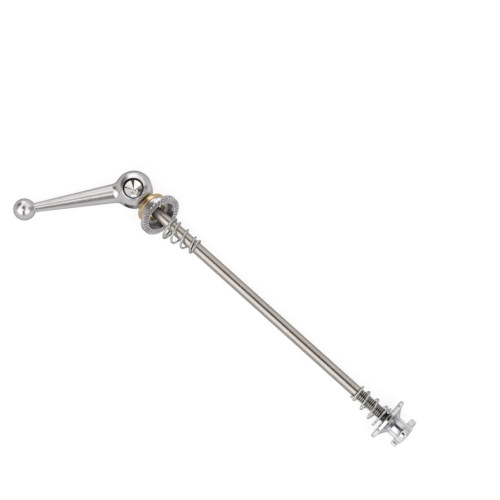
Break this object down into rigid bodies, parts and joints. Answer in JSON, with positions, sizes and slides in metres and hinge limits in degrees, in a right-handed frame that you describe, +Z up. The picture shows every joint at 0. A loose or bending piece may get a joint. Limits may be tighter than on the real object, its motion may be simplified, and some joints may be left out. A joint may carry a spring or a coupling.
{
  "type": "quick release skewer",
  "caption": "Slim wheel skewer: a rod with an eccentric ball-ended cam lever, brass-backed serrated washer and conical spring at one end, and a lobed nut with a spring at the other.",
  "frame": {"origin": "on the rod's axis, half way between the outer faces of the fork ends that it clamps", "axes": "+X along the rod from the lever to the nut, +Z up off the table that the skewer lies on"},
  "size_m": [0.1891, 0.0518, 0.0198],
  "materials": {
    "polished_alloy": "polished",
    "polished_steel": "polished",
    "drawn_rod": "drawn, satin",
    "brass": "turned, bright",
    "spring_wire": "bright drawn wire",
    "nylon": "natural, matt"
  },
  "bodies": {
    "skewer": {"rod": "drawn_rod", "cam_pin": "polished_steel"},
    "lever": {"lever": "polished_alloy"},
    "lever_spring": {"lever_side_spring": "spring_wire"},
    "clamp": {"saddle_bush": "brass", "clamp_washer": "polished_alloy"},
    "nut_spring": {"nut_side_spring": "spring_wire"},
    "nut": {"adjusting_nut": "polished_alloy", "nut_lock_ring": "nylon"}
  },
  "joints": [
    {"name": "lever_pivot", "type": "hinge", "parent": "skewer", "child": "lever", "pos_m": [-0.07435, 0, 0], "axis": [0, -0.0523, 0.9986], "range_deg": [-143, 37]},
    {"name": "clamp_slide", "type": "slide", "parent": "skewer", "child": "lever_spring", "axis": [1, 0, 0], "range_m": [-0.00045, 0.00175]},
    {"name": "clamp_rock", "type": "hinge", "parent": "lever_spring", "child": "clamp", "pos_m": [-0.06155, 0, 0], "axis": [0, 0.9781, 0.2079], "range_deg": [0, 22]},
    {"name": "nut_travel", "type": "slide", "parent": "skewer", "child": "nut_spring", "axis": [1, 0, 0], "range_m": [-0.0136, 0.004]},
    {"name": "nut_spin", "type": "hinge", "parent": "nut_spring", "child": "nut", "pos_m": [0.069, 0, 0], "axis": [1, 0, 0], "range_deg": [-6120, 1800]}
  ],
  "couplings": [
    {"joint": "clamp_slide", "follows": "lever_pivot", "m_per_rad": -0.00070117},
    {"joint": "nut_travel", "follows": "nut_spin", "m_per_rad": 0.00012732}
  ]
}
